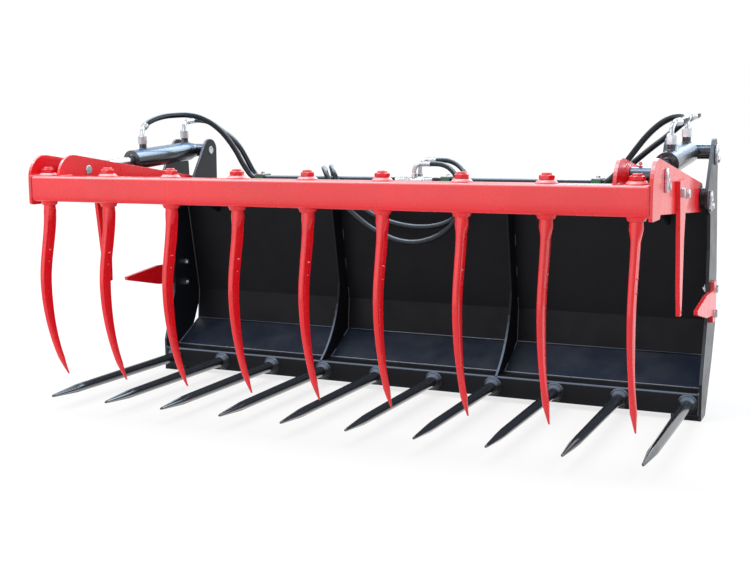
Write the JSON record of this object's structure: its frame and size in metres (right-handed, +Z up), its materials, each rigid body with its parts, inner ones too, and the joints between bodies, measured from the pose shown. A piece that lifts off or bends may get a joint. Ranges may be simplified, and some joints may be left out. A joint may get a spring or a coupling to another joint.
{
  "type": "grapple fork attachment",
  "caption": "Front loader fork with a curved-tine hydraulic grapple over straight lower tines and a sheet-backed frame.",
  "frame": {"origin": "centre of the footprint, on the ground under the side plates and pads", "axes": "+X along the tine bar to the right side seen from the front tine tips, +Y towards the loader, +Z up; the tines point to -Y"},
  "size_m": [2.062, 1.1011, 0.9836],
  "materials": {
    "red_paint": "gloss enamel with slight wear at the edges",
    "black_paint": "semi-gloss enamel",
    "cylinder_paint": "gloss enamel",
    "chrome_rod": "ground and polished",
    "zinc": "bright zinc plating",
    "hose_rubber": "smooth matt cover",
    "clamp_plastic": "moulded"
  },
  "bodies": {
    "bucket_frame": {"tine_bar": "black_paint", "floor_sheet": "black_paint", "back_sheet": "black_paint", "top_tube": "black_paint", "ribs": "black_paint", "side_plate_left": "black_paint", "side_plate_right": "black_paint", "bracket_left": "black_paint", "bracket_right": "black_paint", "lower_tine_bushes": "black_paint", "lower_tine_nuts": "zinc", "lower_tine_01": "black_paint", "lower_tine_02": "black_paint", "lower_tine_03": "black_paint", "lower_tine_04": "black_paint", "lower_tine_05": "black_paint", "lower_tine_06": "black_paint", "lower_tine_07": "black_paint", "lower_tine_08": "black_paint", "lower_tine_09": "black_paint", "lower_tine_10": "black_paint", "knife_left": "red_paint", "knife_right": "red_paint", "knife_bolts": "zinc", "frame_pins": "zinc", "hitch_left": "black_paint", "hitch_right": "black_paint", "hose_clamps": "clamp_plastic", "clamp_plates": "zinc", "tee_fittings": "zinc", "hoses_left": "hose_rubber", "hoses_right": "hose_rubber", "supply_hose_front": "hose_rubber", "supply_hose_rear": "hose_rubber", "supply_couplers": "zinc"},
    "grapple": {"grapple_beam": "red_paint", "arm_outer_left": "red_paint", "arm_outer_right": "red_paint", "arm_inner_left": "red_paint", "arm_inner_right": "red_paint", "side_tine_left": "red_paint", "side_tine_right": "red_paint", "side_tine_bolts": "zinc", "upper_tine_bushes": "red_paint", "upper_tine_nuts": "red_paint", "upper_tines_left": "red_paint", "upper_tines_middle": "red_paint", "upper_tines_right": "red_paint", "rod_pins": "zinc"},
    "cylinder_barrel_left": {"barrel_left": "cylinder_paint", "port_fittings_left": "zinc"},
    "cylinder_rod_left": {"rod_left": "chrome_rod", "rod_eye_left": "cylinder_paint"},
    "cylinder_barrel_right": {"barrel_right": "cylinder_paint", "port_fittings_right": "zinc"},
    "cylinder_rod_right": {"rod_right": "chrome_rod", "rod_eye_right": "cylinder_paint"}
  },
  "joints": [
    {"name": "grapple_swing", "type": "hinge", "parent": "bucket_frame", "child": "grapple", "pos_m": [0, 0.23962, 0.702], "axis": [-1, 0, 0], "range_deg": [0, 75]},
    {"name": "barrel_swing_left", "type": "hinge", "parent": "bucket_frame", "child": "cylinder_barrel_left", "pos_m": [-0.93, 0.32962, 0.841], "axis": [-1, 0, 0], "range_deg": [0, 75.25], "deforming": ["hoses_left"]},
    {"name": "rod_slide_left", "type": "slide", "parent": "cylinder_barrel_left", "child": "cylinder_rod_left", "axis": [0, -0.9976, -0.0698], "range_m": [-0.2017, 0]},
    {"name": "barrel_swing_right", "type": "hinge", "parent": "bucket_frame", "child": "cylinder_barrel_right", "pos_m": [0.93, 0.32962, 0.841], "axis": [-1, 0, 0], "range_deg": [0, 75.25], "deforming": ["hoses_right"]},
    {"name": "rod_slide_right", "type": "slide", "parent": "cylinder_barrel_right", "child": "cylinder_rod_right", "axis": [0, -0.9976, -0.0698], "range_m": [-0.2017, 0]}
  ],
  "couplings": [
    {"joint": "barrel_swing_left", "follows": "grapple_swing", "ratio": 1.0031},
    {"joint": "rod_slide_left", "follows": "grapple_swing", "m_per_rad": -0.15401},
    {"joint": "barrel_swing_right", "follows": "grapple_swing", "ratio": 1.0031},
    {"joint": "rod_slide_right", "follows": "grapple_swing", "m_per_rad": -0.15401}
  ]
}
